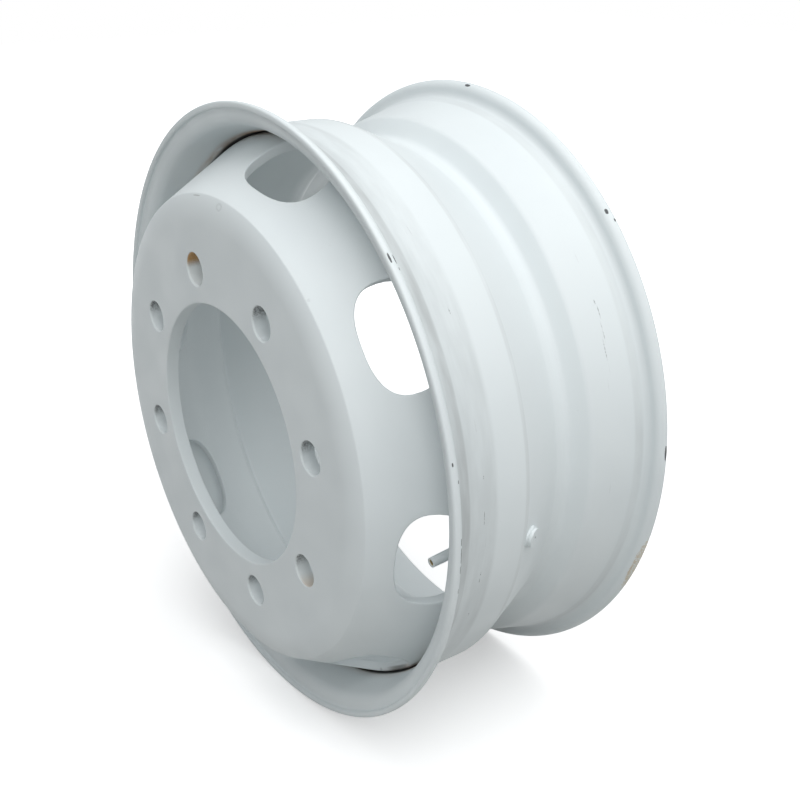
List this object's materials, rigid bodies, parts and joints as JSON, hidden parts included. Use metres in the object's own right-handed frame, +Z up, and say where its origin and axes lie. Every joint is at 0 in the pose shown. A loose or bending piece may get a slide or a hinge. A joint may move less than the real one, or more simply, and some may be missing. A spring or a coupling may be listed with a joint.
{
  "type": "truck wheel",
  "caption": "Painted steel truck wheel: drop-centre rim with a bell-shaped disc, bolt circle, centre bore, oval hand holes and a bent tyre valve.",
  "frame": {"origin": "on the wheel's axis in the plane of the disc's inner face, which bolts to the hub", "axes": "+Y along the wheel's axis towards the vehicle, -Y outboard, +Z up"},
  "size_m": [0.5206, 0.2443, 0.5206],
  "materials": {
    "paint": "satin off-white spray paint",
    "rubber": "matt",
    "brass": "plain",
    "sealing_ring": "smooth",
    "spring_steel": "bright"
  },
  "bodies": {
    "wheel": {"rim": "paint", "disc": "paint", "disc_weld": "paint", "valve_stem": "paint", "valve_grommet": "rubber", "valve_washer": "paint", "valve_nut": "paint", "core_barrel": "brass", "core_gasket": "sealing_ring", "core_spring": "spring_steel"},
    "valve_pin": {"core_pin": "brass", "core_seal": "rubber"}
  },
  "joints": [
    {"name": "valve_pin_press", "type": "slide", "parent": "wheel", "child": "valve_pin", "axis": [0.0173, 0.9938, 0.1101], "range_m": [0, 0.0015], "stiffness_N_per_m": 800, "springref_m": -0.002, "deforming": ["core_spring"]}
  ]
}
